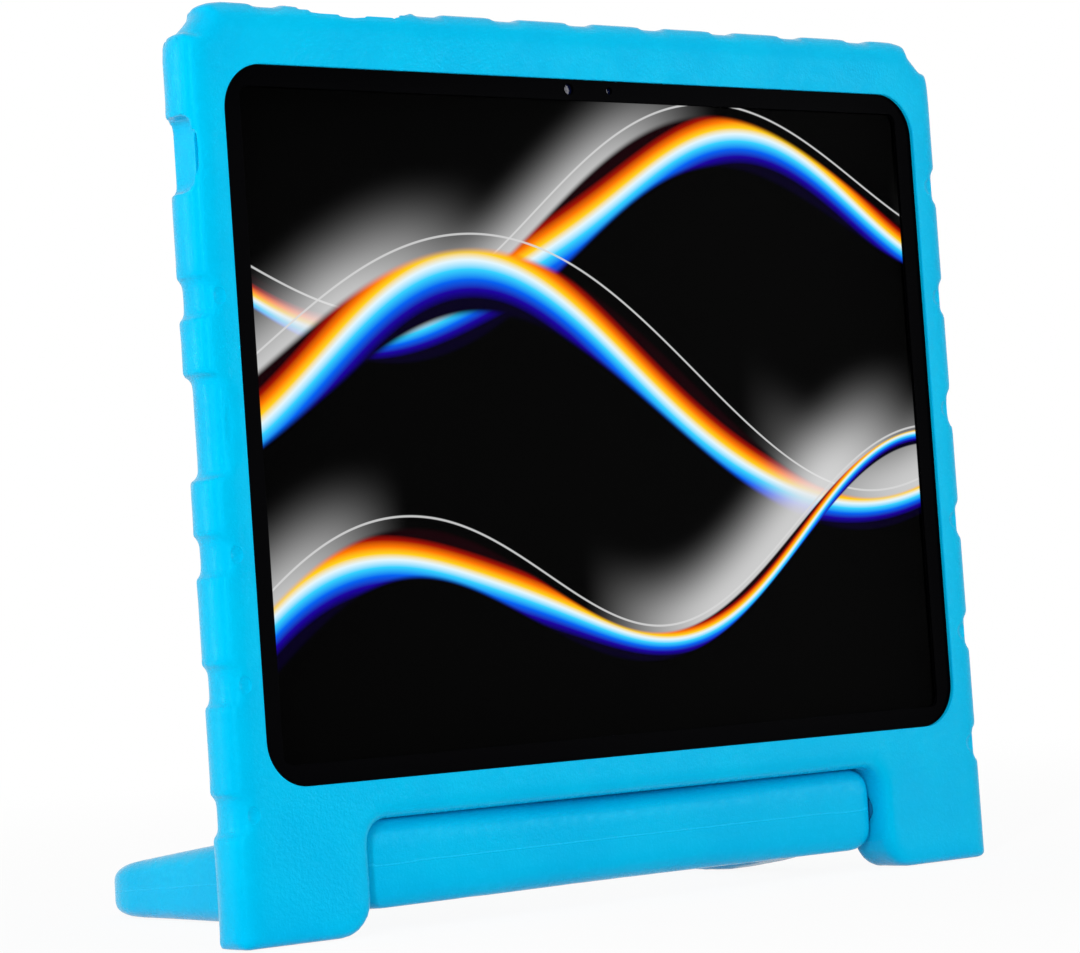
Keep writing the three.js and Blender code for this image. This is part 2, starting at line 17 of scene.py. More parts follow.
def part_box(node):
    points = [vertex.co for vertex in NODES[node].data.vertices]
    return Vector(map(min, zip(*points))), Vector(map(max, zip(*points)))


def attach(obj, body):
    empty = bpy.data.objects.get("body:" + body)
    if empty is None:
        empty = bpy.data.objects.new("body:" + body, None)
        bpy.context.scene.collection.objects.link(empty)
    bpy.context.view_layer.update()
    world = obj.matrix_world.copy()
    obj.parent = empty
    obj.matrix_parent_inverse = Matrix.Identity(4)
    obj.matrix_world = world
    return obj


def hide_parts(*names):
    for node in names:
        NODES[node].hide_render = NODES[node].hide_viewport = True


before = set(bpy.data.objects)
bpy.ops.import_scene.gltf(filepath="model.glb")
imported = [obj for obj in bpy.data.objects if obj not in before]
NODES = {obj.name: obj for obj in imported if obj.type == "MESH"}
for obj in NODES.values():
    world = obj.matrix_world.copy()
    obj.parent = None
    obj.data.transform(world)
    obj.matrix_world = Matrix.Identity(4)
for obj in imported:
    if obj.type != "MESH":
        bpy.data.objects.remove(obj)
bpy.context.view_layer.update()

MM = 0.001
WHITE = (1, 1, 1, 1)
SMOOTH = {"interpolation_type": "SMOOTHSTEP"}
COLOUR_MIX = {"out": 2, "data_type": "RGBA"}
MERGE_DISTANCE = 0.005 * MM
CORNER_SEGMENTS = 16
Socket = bpy.types.NodeSocket

logging.basicConfig(level=logging.INFO, format="%(message)s")
log = logging.getLogger("tablet_case")


class Joining(str, Enum):
    """The ways in which a tool's body works on a piece."""

    ADD = "UNION"
    CUT = "DIFFERENCE"


class Hex(str, Enum):
    """The sRGB colours of the finishes."""

    FOAM = "#00b8e4"
    FOAM_DEEP = "#00b3e1"
    FOAM_GLEAM = "#2ce0ff"
    FOAM_PALE = "#16c6f4"
    HINGE = "#0c86bd"
    GRAPHITE = "#3b3d41"
    BLACK_INK = "#020203"
    STEEL = "#a8a9ab"
    FLASH = "#efe3bb"
    PORT_BLACK = "#161618"
    FLOOR = "#f4f4f4"


def linear(colour: str) -> tuple[float, float, float, float]:
    """Turns an sRGB hex colour into the linear values that a shader takes.

    Args:
        colour: A value such as "#00b6ec".

    Returns:
        Red, green, blue and an alpha of 1.
    """
    channels = [int(colour[start:start + 2], 16) / 255 for start in (1, 3, 5)]
    values = [c / 12.92 if c <= 0.04045 else ((c + 0.055) / 1.055) ** 2.4 for c in channels]
    return (*values, 1.0)


@dataclass(frozen=True)
class Nodes:
    """Writes a node tree, so that a pattern reads as its formula."""

    tree: bpy.types.NodeTree

    def add(self, kind: str, *values: object, out: int | str = 0, **settings: object) -> Socket:
        """Adds a node with its settings and links.

        Args:
            kind: The node's type without its ShaderNode prefix.
            *values: One value for each input in turn, or a table from the inputs' names or
                indices to their values. Each is an output socket or a plain value.
            out: The output that is wanted.
            **settings: Properties of the node itself.

        Returns:
            The output's socket.
        """
        node = self.tree.nodes.new("ShaderNode" + kind)
        for name, value in settings.items():
            setattr(node, name, value)
        table = values[0] if values and isinstance(values[0], dict) else dict(enumerate(values))
        for name, value in table.items():
            socket = node.inputs[name]
            if isinstance(value, Socket):
                self.tree.links.new(value, socket)
            else:
                socket.default_value = value
        return node.outputs[out]


def new_material(name: str) -> tuple[bpy.types.Material, Nodes]:
    """Makes an empty node material.

    Args:
        name: The material's name.

    Returns:
        The material and its nodes.
    """
    material = bpy.data.materials.new(name)
    material.use_nodes = True
    material.node_tree.nodes.clear()
    return material, Nodes(material.node_tree)


def finish_with(nodes: Nodes, shader: Socket, kind: str = "OutputMaterial") -> None:
    """Links a shader to the output of its tree.

    Args:
        nodes: The tree's nodes.
        shader: The shader's socket.
        kind: The output node's type without its ShaderNode prefix.
    """
    output = nodes.tree.nodes.new("ShaderNode" + kind)
    nodes.tree.links.new(shader, output.inputs["Surface"])
    output.is_active_output = True


def paint(ramp: bpy.types.ColorRamp, stops: Sequence[tuple[float, str]]) -> None:
    """Sets the colours of a colour ramp.

    Args:
        ramp: The ramp.
        stops: Pairs of a position and an sRGB hex colour.
    """
    while len(ramp.elements) < len(stops):
        ramp.elements.new(1.0)
    for element, (position, colour) in zip(ramp.elements, stops):
        element.position = position
        element.color = linear(colour)


@dataclass(frozen=True)
class Grain:
    """One layer of a surface's pattern: the size of its grains, how it breaks up and its relief."""

    size_mm: float
    detail: float
    rough: float
    strength: float
    depth_mm: float


@dataclass(frozen=True)
class Foam:
    """Moulded EVA foam: a closed skin with a satin shine that breaks up in fine pits and creases."""

    name: str = "eva_foam"
    colour: str = Hex.FOAM.value
    deep: str = Hex.FOAM_DEEP.value
    pale: str = Hex.FOAM_PALE.value
    gleam: str = Hex.FOAM_GLEAM.value
    swell: Grain = Grain(22.0, 1.0, 0.4, 0.5, 0.5)
    crease: Grain = Grain(3.2, 4.0, 0.6, 0.35, 0.22)
    pit: Grain = Grain(0.8, 3.0, 0.55, 0.45, 0.09)
    pale_pits: float = 0.35
    roughness: float = 0.22
    shine: float = 0.13
    parting_attribute: str = ""
    parting_width_mm: float = 0.35
    parting_relief: tuple[float, float] = (0.8, 0.12)
    parting_highlight_tint: float = 0.7

    def build(self) -> bpy.types.Material:
        """Builds the foam.

        Returns:
            The material.
        """
        material, nodes = new_material(self.name)
        place = nodes.add("TexCoord", out="Object")
        grains = (self.swell, self.crease, self.pit)
        swell, crease, pit = layers = [nodes.add("TexNoise", {
            "Vector": place, "Scale": 1 / (grain.size_mm * MM), "Detail": grain.detail,
            "Roughness": grain.rough}) for grain in grains]
        # The press leaves clouds of two close blues and paler specks in the pits.
        clouds = nodes.add("MapRange", swell, 0.3, 0.7, **SMOOTH)
        tint = nodes.add("Mix", {0: clouds, 6: linear(self.deep), 7: linear(self.colour)}, **COLOUR_MIX)
        specks = nodes.add("MapRange", pit, 0.55, 0.85, 0.0, self.pale_pits, **SMOOTH)
        tint = nodes.add("Mix", {0: specks, 6: tint, 7: linear(self.pale)}, **COLOUR_MIX)
        reliefs = [(layer, grain.strength, grain.depth_mm) for layer, grain in zip(layers, grains)]
        if self.parting_attribute:
            # The mould's halves meet in a fine raised line. Its relief catches the light, and its colour is
            # lightened towards the pale blue as a painted highlight, broken up in places.
            height = nodes.add("Attribute", out="Fac", attribute_name=self.parting_attribute)
            away = nodes.add("Math", height, operation="ABSOLUTE")
            line = nodes.add("MapRange", away, self.parting_width_mm, 0.0, **SMOOTH)
            breaks = nodes.add("MapRange", crease, 0.35, 0.6, 0.35, 1.0, **SMOOTH)
            line = nodes.add("Math", line, breaks, operation="MULTIPLY")
            # Painted highlight: the line's colour is mixed towards the pale blue.
            share = nodes.add("Math", line, self.parting_highlight_tint, operation="MULTIPLY")
            tint = nodes.add("Mix", {0: share, 6: tint, 7: linear(self.pale)}, **COLOUR_MIX)
            reliefs.append((line, *self.parting_relief))
        under = {}
        for height, strength, depth_mm in reliefs:
            normal = nodes.add("Bump", {
                "Height": height, "Strength": strength, "Distance": depth_mm * MM, **under})
            under = {"Normal": normal}
        # Creases in the skin scatter its satin shine, which stays blue on blue foam.
        rough = nodes.add(
            "MapRange", crease, 0.3, 0.75, self.roughness - 0.06, self.roughness + 0.14, **SMOOTH)
        finish_with(nodes, nodes.add("BsdfPrincipled", {
            "Base Color": tint,
            "Roughness": rough,
            "IOR": 1.49,
            "Specular IOR Level": self.shine,
            "Specular Tint": linear(self.gleam),
            "Normal": normal,
        }))
        return material


@dataclass(frozen=True)
class Plain:
    """A moulded or machined solid whose surface has one fine grain."""

    name: str
    colour: str
    roughness: float
    metallic: float = 0.0
    grain_mm: float = 0.4
    relief_mm: float = 0.01
    stretch: tuple[float, float, float] = (1.0, 1.0, 1.0)
    ior: float = 1.5
    dark_share: float = 0.8

    def build(self) -> bpy.types.Material:
        """Builds the finish, with the grain in its colour, its shine and its relief.

        Returns:
            The material.
        """
        material, nodes = new_material(self.name)
        place = nodes.add("Mapping", {"Vector": nodes.add("TexCoord", out="Object"), "Scale": self.stretch})
        grain = nodes.add("TexNoise", {
            "Vector": place, "Scale": 1 / (self.grain_mm * MM), "Detail": 2.0, "Roughness": 0.6})
        base = linear(self.colour)
        dark = (*(self.dark_share * value for value in base[:3]), 1.0)
        finish_with(nodes, nodes.add("BsdfPrincipled", {
            "Base Color": nodes.add("Mix", {0: grain, 6: dark, 7: base}, **COLOUR_MIX),
            "Roughness": nodes.add(
                "MapRange", grain, 0.2, 0.8, self.roughness - 0.05, self.roughness + 0.08, **SMOOTH),
            "Metallic": self.metallic,
            "IOR": self.ior,
            "Normal": nodes.add("Bump", {
                "Height": grain, "Strength": 0.4, "Distance": self.relief_mm * MM}),
        }))
        return material


@dataclass(frozen=True)
class CaseAxes:
    """The case's own axes: across and up its front, from the middle of the tablet."""

    tilt: float = math.radians(1.0)

    def middle(self) -> Vector:
        """Gives the middle of the tablet's front face.

        Returns:
            The point, in the row frame.
        """
        low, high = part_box("cover_glass")
        half_height = (high.z - low.z) / 2
        return Vector(((low.x + high.x) / 2, low.y + half_height * math.sin(self.tilt), (low.z + high.z) / 2))

    def matrix(self) -> Matrix:
        """Gives the turn and move from case axes (across, up, forward) to the row frame.

        Returns:
            A 4 by 4 matrix.
        """
        turn = Matrix.Rotation(math.pi / 2 - self.tilt, 4, "X")
        return Matrix.Translation(self.middle()) @ turn

    def on_front(self, nodes: Nodes) -> tuple[Socket, Socket]:
        """Gives the coordinates across and up the front, in millimetres.

        Args:
            nodes: The nodes of a material.

        Returns:
            The sockets for across and up.
        """
        moved = nodes.add("Mapping", {
            "Vector": nodes.add("TexCoord", out="Object"),
            "Location": -self.middle() / MM,
            "Scale": (1 / MM,) * 3,
        }, vector_type="POINT")
        turned = nodes.add("VectorRotate", {
            "Vector": moved, "Axis": (1, 0, 0), "Angle": self.tilt}, rotation_type="AXIS_ANGLE")
        split = nodes.add("SeparateXYZ", turned).node.outputs
        return split["X"], split["Z"]


@dataclass(frozen=True)
class Ribbon:
    """One glossy band of the screen's picture: a wave that runs across it."""

    height_mm: float
    slope: float
    swing_mm: float
    wave_mm: float
    phase: float
    width_mm: float
    glow_mm: float


@dataclass(frozen=True)
class ScreenPicture:
    """The lit display: bright ribbons with the colours of an oil film over black, made for this part."""

    axes: CaseAxes
    name: str = "lit_display"
    roughness: float = 0.12
    sheen: float = 0.003
    ribbons: tuple[Ribbon, ...] = (
        Ribbon(58.0, 0.10, 26.0, 250.0, 0.4, 11.0, 34.0),
        Ribbon(6.0, -0.06, 34.0, 300.0, 2.5, 13.0, 42.0),
        Ribbon(-52.0, 0.14, 24.0, 220.0, 4.1, 10.0, 36.0),
    )
    film: tuple[tuple[float, str], ...] = (
        (0.0, "#04001c"),
        (0.14, "#1a00a0"),
        (0.27, "#0060f0"),
        (0.42, "#35d2ff"),
        (0.55, "#e4f7ff"),
        (0.66, "#ffd21c"),
        (0.78, "#ff7a00"),
        (0.90, "#a01000"),
        (1.0, "#160004"),
    )
    film_drift: float = 0.26
    glow_colour: str = "#e8e8e8"
    glow_power: float = 2.2
    glow_share: float = 0.75
    edge_colour: str = "#d9d9d9"
    edge_share: float = 0.8
    edge_place: float = 1.35
    edge_mm: tuple[float, float] = (0.45, 0.2)

    def build(self) -> bpy.types.Material:
        """Builds the picture, which shines by itself at a display's plain level.

        Returns:
            The material.
        """
        material, nodes = new_material(self.name)
        across, up = self.axes.on_front(nodes)
        picture = linear("#000000")
        for ribbon in self.ribbons:
            picture = self.add_ribbon(nodes, picture, across, up, ribbon)
        finish_with(nodes, nodes.add("BsdfPrincipled", {
            "Base Color": linear("#000000"),
            "Roughness": self.roughness,
            "Specular IOR Level": self.sheen,
            "Emission Color": picture,
            "Emission Strength": 1.0,
        }))
        return material

    def add_ribbon(self, nodes: Nodes, picture: Socket | tuple[float, ...], across: Socket, up: Socket,
                   ribbon: Ribbon) -> Socket:
        """Lays one ribbon, its glow and its fine edge line over the picture.

        Args:
            nodes: The material's nodes.
            picture: The colour so far.
            across: Millimetres to the right.
            up: Millimetres upwards.
            ribbon: The band's sizes.

        Returns:
            The new colour's socket.
        """
        add = nodes.add
        # How far a point is from the wave's line, square to it.
        turn = add("Math", across, 2 * math.pi / ribbon.wave_mm, ribbon.phase, operation="MULTIPLY_ADD")
        wave = add("Math", add("Math", turn, operation="SINE"), ribbon.swing_mm, operation="MULTIPLY")
        rise = add("Math", across, ribbon.slope, ribbon.height_mm, operation="MULTIPLY_ADD")
        line = add("Math", rise, wave, operation="ADD")
        slope = add("Math", add("Math", turn, operation="COSINE"),
                    ribbon.swing_mm * 2 * math.pi / ribbon.wave_mm, ribbon.slope, operation="MULTIPLY_ADD")
        square = add("Math", slope, slope, 1.0, operation="MULTIPLY_ADD")
        stretch = add("Math", square, operation="SQRT")
        away = add("Math", add("Math", up, line, operation="SUBTRACT"), stretch, operation="DIVIDE")
        # The band swells and thins along the wave.
        swell = add("Math", add("Math", turn, 0.5, 1.1, operation="MULTIPLY_ADD"), operation="SINE")
        half = add("Math", swell, 0.3 * ribbon.width_mm, 0.55 * ribbon.width_mm, operation="MULTIPLY_ADD")
        part = add("Math", away, add("Math", half, 2.0, operation="MULTIPLY"), operation="DIVIDE")
        share = add("Math", part, 0.5, operation="ADD")
        inside = add("Math", add("MapRange", share, 0.0, 0.12, **SMOOTH),
                     add("MapRange", share, 1.0, 0.88, **SMOOTH), operation="MULTIPLY")
        # A grey glow fades above the band and comes and goes along it.
        above = add("MapRange", away, ribbon.glow_mm, ribbon.width_mm * 0.5, 0.0, 1.0, **SMOOTH)
        glow = add("Math", above, add("MapRange", away, 0.0, 0.5, **SMOOTH), operation="MULTIPLY")
        glow = add("Math", glow, self.glow_power, operation="POWER")
        wax = add("Math", add("Math", turn, 1.0, 2.0, operation="MULTIPLY_ADD"), operation="SINE")
        fade = add("MapRange", wax, -0.6, 0.9, 0.0, self.glow_share, **SMOOTH)
        glow = add("Math", glow, fade, operation="MULTIPLY")
        lit = add("Mix", {0: glow, 6: picture, 7: linear(self.glow_colour)}, **COLOUR_MIX)
        # A thin line runs outside the band.
        edge_line = add("Math", half, self.edge_place, operation="MULTIPLY")
        off_edge = add("Math", away, edge_line, operation="SUBTRACT")
        edge = add("MapRange", add("Math", off_edge, operation="ABSOLUTE"),
                   *self.edge_mm, 0.0, self.edge_share, **SMOOTH)
        lit = add("Mix", {0: edge, 6: lit, 7: linear(self.edge_colour)}, **COLOUR_MIX)
        # The film's colours drift across the band.
        sway = add("Math", add("Math", turn, 1.7, ribbon.phase, operation="MULTIPLY_ADD"), operation="SINE")
        drift = add("Math", sway, self.film_drift, operation="MULTIPLY")
        film = add("ValToRGB", add("Math", share, drift, operation="ADD"))
        paint(film.node.color_ramp, self.film)
        return add("Mix", {0: inside, 6: lit, 7: film}, **COLOUR_MIX)


@dataclass(frozen=True)
class CoverGlassFinish:
    """The tablet's glass: clear over the display, with a black printed border around it."""

    axes: CaseAxes
    name: str = "cover_glass_finish"
    corner_mm: float = 3.0
    blur_mm: float = 0.1
    roughness: float = 0.12
    sheen: float = 0.003
    behind_ink: tuple[str, ...] = ("front_camera", "light_sensor")

    def build(self) -> bpy.types.Material:
        """Builds the glass with its printed border.

        Returns:
            The material.
        """
        material, nodes = new_material(self.name)
        across, up = self.axes.on_front(nodes)
        low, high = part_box("display_panel")
        squares = []
        for place, half in ((across, (high.x - low.x) / 2), (up, (high.z - low.z) / 2)):
            side = nodes.add("Math", place, operation="ABSOLUTE")
            beyond = nodes.add("Math", side, half / MM - self.corner_mm, operation="SUBTRACT")
            beyond = nodes.add("Math", beyond, 0.0, operation="MAXIMUM")
            squares.append(nodes.add("Math", beyond, 2.0, operation="POWER"))
        reach = nodes.add("Math", nodes.add("Math", *squares, operation="ADD"), operation="SQRT")
        border = nodes.add(
            "MapRange", reach, self.corner_mm - self.blur_mm, self.corner_mm + self.blur_mm, **SMOOTH)
        for name in self.behind_ink:
            border = nodes.add("Math", border, self.outside_window(nodes, across, up, name),
                               operation="MULTIPLY")
        # The ink is a deep, even black; the clear glass lets the display through unchanged.
        ink = nodes.add("BsdfPrincipled", {
            "Base Color": linear(Hex.BLACK_INK.value), "Roughness": self.roughness,
            "Specular IOR Level": self.sheen})
        clear = nodes.add("BsdfTransparent", {"Color": WHITE})
        finish_with(nodes, nodes.add("MixShader", border, clear, ink))
        return material

    def outside_window(self, nodes: Nodes, across: Socket, up: Socket, name: str) -> Socket:
        """Leaves a round window in the ink in front of a sensor.

        Args:
            nodes: The material's nodes.
            across: Millimetres to the right.
            up: Millimetres upwards.
            name: The sensor's node.

        Returns:
            A socket that is 0 inside the window and 1 outside it.
        """
        low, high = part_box(name)
        place = self.axes.matrix().inverted() @ ((low + high) / 2) / MM
        radius = (high.x - low.x) / 2 / MM
        squares = []
        for coordinate, middle in ((across, place.x), (up, place.y)):
            off = nodes.add("Math", coordinate, middle, operation="SUBTRACT")
            squares.append(nodes.add("Math", off, off, operation="MULTIPLY"))
        away = nodes.add("Math", nodes.add("Math", *squares, operation="ADD"), operation="SQRT")
        return nodes.add("MapRange", away, radius - self.blur_mm, radius, **SMOOTH)


@dataclass(frozen=True)
class LensGlass:
    """Coated lens glass: near black, with a painted blue and violet sheen towards grazing angles and faint
    rings of its barrel.
    """

    name: str = "coated_lens_glass"
    ring_mm: float = 1.1
    painted_sheen_stops: tuple[tuple[float, str], ...] = (
        (0.0, "#05060c"), (0.5, "#0b1850"), (0.8, "#32206a"), (1.0, "#101018"))

    def build(self) -> bpy.types.Material:
        """Builds the glass, with the coating's sheen painted into its colour at grazing angles.

        Returns:
            The material.
        """
        material, nodes = new_material(self.name)
        rings = nodes.add("TexNoise", {
            "Vector": nodes.add("TexCoord", out="Object"), "Scale": 1 / (self.ring_mm * MM), "Detail": 1.0})
        # Painted sheen: the base colour turns from near black to blue and violet as the surface turns away
        # from the view.
        sheen = nodes.add("ValToRGB", nodes.add("LayerWeight", {"Blend": 0.35}, out="Facing"))
        paint(sheen.node.color_ramp, self.painted_sheen_stops)
        finish_with(nodes, nodes.add("BsdfPrincipled", {
            "Base Color": sheen,
            "Roughness": nodes.add("MapRange", rings, 0.3, 0.7, 0.02, 0.06, **SMOOTH),
            "IOR": 1.6,
            "Specular IOR Level": 0.12,
            "Coat Weight": 0.15,
            "Coat Roughness": 0.02,
        }))
        return material


def select_only(piece: bpy.types.Object) -> None:
    """Makes a piece the only selected and the active object."""
    bpy.ops.object.select_all(action="DESELECT")
    piece.select_set(True)
    bpy.context.view_layer.objects.active = piece


def apply_modifier(piece: bpy.types.Object, kind: str, **settings: object) -> None:
    """Adds a modifier to a piece and applies it.

    Args:
        piece: The piece.
        kind: The modifier's type.
        **settings: The modifier's properties.
    """
    select_only(piece)
    modifier = piece.modifiers.new(kind.lower(), kind)
    for name, value in settings.items():
        setattr(modifier, name, value)
    bpy.ops.object.modifier_apply(modifier=modifier.name)


def dress(piece: bpy.types.Object, material: bpy.types.Material) -> None:
    """Gives a piece one material all over."""
    piece.data.materials.clear()
    piece.data.materials.append(material)


def moulding_of(node: str, name: str) -> bpy.types.Object:
    """Copies a solid as the start of a moulding, with its loose triangles merged.

    Args:
        node: The node to copy.
        name: The new piece's name.

    Returns:
        The new piece.
    """
    piece = bpy.data.objects.new(name, NODES[node].data.copy())
    bpy.context.scene.collection.objects.link(piece)
    select_only(piece)
    bpy.ops.object.mode_set(mode="EDIT")
    bpy.ops.mesh.select_all(action="SELECT")
    bpy.ops.mesh.remove_doubles(threshold=MERGE_DISTANCE)
    bpy.ops.mesh.normals_make_consistent(inside=False)
    bpy.ops.object.mode_set(mode="OBJECT")
    return piece


def soften(piece: bpy.types.Object, voxel: float, rounds: int, thinned: float = 0.02) -> None:
    """Rounds a moulding's edges as a foam press does.

    Args:
        piece: The moulding, with its large faces along the axes.
        voxel: The grid's pitch in metres.
        rounds: How many times its points move towards their neighbours.
        thinned: How far flat faces may be joined.
    """
    apply_modifier(piece, "REMESH", mode="VOXEL", voxel_size=voxel, adaptivity=thinned)
    apply_modifier(piece, "SMOOTH", factor=0.5, iterations=rounds)


def combine(piece: bpy.types.Object, tool: bpy.types.Object, joining: Joining) -> None:
    """Joins a tool to a piece or cuts it away, and removes the tool.

    Args:
        piece: The piece.
        tool: A closed body, which is used up.
        joining: Whether the tool is added or cut away.
    """
    apply_modifier(piece, "BOOLEAN", operation=joining.value, object=tool, solver="MANIFOLD")
    bpy.data.meshes.remove(tool.data)


def block(low: Sequence[float], high: Sequence[float], radius: float = 0.0) -> bpy.types.Object:
    """Makes a block between two corners, with its upright edges rounded.

    Args:
        low: Its lowest corner in millimetres.
        high: Its highest corner in millimetres.
        radius: The upright edges' radius in millimetres.

    Returns:
        The block.
    """
    size = [(far - near) * MM for near, far in zip(low, high)]
    middle = [(far + near) / 2 * MM for near, far in zip(low, high)]
    bpy.ops.object.select_all(action="DESELECT")
    bpy.ops.mesh.primitive_cube_add(size=1)
    piece = bpy.context.object
    piece.data.transform(Matrix.Translation(middle) @ Matrix.Diagonal((*size, 1)))
    if radius:
        weights = piece.data.attributes.new("bevel_weight_edge", "FLOAT", "EDGE")
        for edge in piece.data.edges:
            ends = [piece.data.vertices[index].co for index in edge.vertices]
            weights.data[edge.index].value = float(abs(ends[0].z - ends[1].z) > 0.1 * MM)
        apply_modifier(piece, "BEVEL", width=radius * MM, segments=CORNER_SEGMENTS, limit_method="WEIGHT")
    return piece


@dataclass
class FoamCase:
    """The case's body: one foam moulding with a lip, grip grooves, feet and openings.

    Lengths whose names end in mm are in millimetres in the case's own axes; voxel is in metres.
    """

    axes: CaseAxes
    finish: bpy.types.Material
    voxel: float = 0.9 * MM
    rounds: int = 2
    lip_mm: float = 1.2
    lip_overlap_mm: float = 0.9
    lip_round_mm: float = 0.6
    pocket_gap_mm: float = 0.4
    front_gap_mm: float = 0.3
    tablet_radius_mm: float = 15.0
    window_steps: int = 4
    window_reach_mm: float = 3.0
    filler_grip_mm: float = 0.5
    dimple_inset_mm: float = 5.6
    dimple_lift_mm: float = 0.85
    dimple_half_mm: tuple[float, float, float] = (3.4, 3.4, 1.8)
    dimple_rows_mm: tuple[float, ...] = (37.9, -37.9, -75.8, -113.7)
    right_rows_mm: tuple[float, ...] = (0.0, 75.8)
    long_dimple_mm: float = 11.0
    sharp_deg: float = 40.0

    def build(self) -> bpy.types.Object:
        """Models the body and gives it its finish.

        Returns:
            The piece.
        """
        piece = moulding_of("case_body", "foam_case_body")
        turn = self.axes.matrix().inverted()
        piece.data.transform(turn)
        low, high = self.tablet_box()
        gap, grip = self.pocket_gap_mm, self.filler_grip_mm
        front = self.front_gap_mm + self.lip_mm
        filler = block(
            (low.x - gap - grip, low.y - gap - grip, low.z - gap),
            (high.x + gap + grip, high.y + gap + grip, front))
        combine(piece, filler, Joining.ADD)
        soften(piece, self.voxel, self.rounds)
        self.press_dimples(piece, front)
        pocket = block(
            (low.x - gap, low.y - gap, low.z - 2 * gap),
            (high.x + gap, high.y + gap, self.front_gap_mm),
            self.tablet_radius_mm + gap)
        combine(piece, pocket, Joining.CUT)
        self.cut_window(piece, low, high, front)
        piece.data.transform(turn.inverted())
        select_only(piece)
        bpy.ops.object.shade_smooth_by_angle(angle=math.radians(self.sharp_deg))
        dress(piece, self.finish)
        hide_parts("case_body")
        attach(piece, "case")
        return piece

    def tablet_box(self) -> tuple[Vector, Vector]:
        """Gives the tablet's corners in the case's own axes, in millimetres.

        Returns:
            The lowest and the highest corner.
        """
        turn = self.axes.matrix().inverted()
        points = [turn @ vertex.co / MM for vertex in NODES["tablet_housing"].data.vertices]
        low = Vector([min(point[axis] for point in points) for axis in range(3)])
        high = Vector([max(point[axis] for point in points) for axis in range(3)])
        return low, high

    def press_dimples(self, piece: bpy.types.Object, front: float) -> None:
        """Presses the half ovals where the side grooves end on the front.

        Args:
            piece: The moulding in its own axes.
            front: The level of its front face in millimetres.
        """
        right = max(vertex.co.x for vertex in piece.data.vertices) / MM - self.dimple_inset_mm
        half_width, half_height, half_depth = self.dimple_half_mm
        places = [(side * right, row, half_height) for side in (-1, 1) for row in self.dimple_rows_mm]
        places.append((-right, 0.0, self.long_dimple_mm))
        places += [(right, row, half_height) for row in self.right_rows_mm]
        for x, y, half_length in places:
            bpy.ops.object.select_all(action="DESELECT")
            bpy.ops.mesh.primitive_uv_sphere_add(segments=32, ring_count=16, radius=1)
            tool = bpy.context.object
            tool.data.transform(
                Matrix.Translation(Vector((x, y, front + self.dimple_lift_mm)) * MM)
                @ Matrix.Diagonal((half_width * MM, half_length * MM, half_depth * MM, 1)))
            combine(piece, tool, Joining.CUT)

    def cut_window(self, piece: bpy.types.Object, low: Vector, high: Vector, front: float) -> None:
        """Cuts the window through the lip and rounds its rim.

        Args:
            piece: The moulding in its own axes.
            low: The tablet's lowest corner in millimetres.
            high: The tablet's highest corner in millimetres.
            front: The level of the front face in millimetres.
        """
        overlap = self.lip_overlap_mm
        for step in range(self.window_steps + 1):
            angle = step / self.window_steps * math.pi / 2
            out = self.lip_round_mm * (1 - math.cos(angle))
            depth = self.lip_round_mm * (1 - math.sin(angle))
            start = -self.front_gap_mm if step == 0 else front - depth
            grow = out - overlap
            tool = block(
                (low.x - grow, low.y - grow, start),
                (high.x + grow, high.y + grow, front + self.window_reach_mm),
                self.tablet_radius_mm + grow)
            combine(piece, tool, Joining.CUT)


@dataclass
class FoamHandle:
    """The handle ring: a foam moulding that tapers down to the table."""

    finish: bpy.types.Material
    voxel: float = 0.9 * MM
    rounds: int = 5
    thinned: float = 0.004
    arm_depth_mm: float = 12.0
    row_mm: float = 2.0
    least_height_mm: float = 10.0
    bar_end_mm: float = 27.0
    rise_mm: float = 0.85
    rise_run_mm: float = 8.0

    def build(self) -> bpy.types.Object:
        """Models the ring and gives it its finish.

        Returns:
            The piece.
        """
        piece = moulding_of("handle_ring", "foam_handle_ring")
        soften(piece, self.voxel, self.rounds, self.thinned)
        self.mark_parting(piece)
        self.fill_notch(piece)
        select_only(piece)
        bpy.ops.object.shade_smooth()
        dress(piece, self.finish)
        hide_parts("handle_ring")
        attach(piece, "handle")
        return piece

    def mark_parting(self, piece: bpy.types.Object) -> None:
        """Stores each point's height over the parting line, which runs round the ring's mid-height.

        Args:
            piece: The moulding.
        """
        solid = NODES["handle_ring"].data.vertices
        side = max(vertex.co.x for vertex in solid) - self.arm_depth_mm * MM
        pitch = self.row_mm * MM
        spans: dict[int, list[float]] = {}
        for vertex in solid:
            if abs(vertex.co.x) > side:
                spans.setdefault(round(vertex.co.y / pitch), []).append(vertex.co.z)
        rows = sorted((key * pitch, (min(span) + max(span)) / 2)
                      for key, span in spans.items() if max(span) - min(span) > self.least_height_mm * MM)
        places = [row[0] for row in rows]
        heights = []
        for vertex in piece.data.vertices:
            after = min(max(bisect.bisect(places, vertex.co.y), 1), len(rows) - 1)
            (near, low), (far, high) = rows[after - 1], rows[after]
            share = min(max((vertex.co.y - near) / (far - near), 0.0), 1.0)
            heights.append((vertex.co.z - low - share * (high - low)) / MM)
        marks = piece.data.attributes.new("parting_mm", "FLOAT", "POINT")
        marks.data.foreach_set("value", heights)

    def fill_notch(self, piece: bpy.types.Object) -> None:
        """Raises the top of the bar, because its soft foam nearly touches the notch's ceiling.

        Args:
            piece: The moulding.
        """
        low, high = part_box("hinge_pin_left")
        hinge = (low + high) / 2
        for vertex in piece.data.vertices:
            above = vertex.co.z - hinge.z
            behind = vertex.co.y - hinge.y - self.bar_end_mm * MM
            if above > 0 and behind < 0:
                vertex.co.z += self.rise_mm * MM * min(1.0, -behind / (self.rise_run_mm * MM))


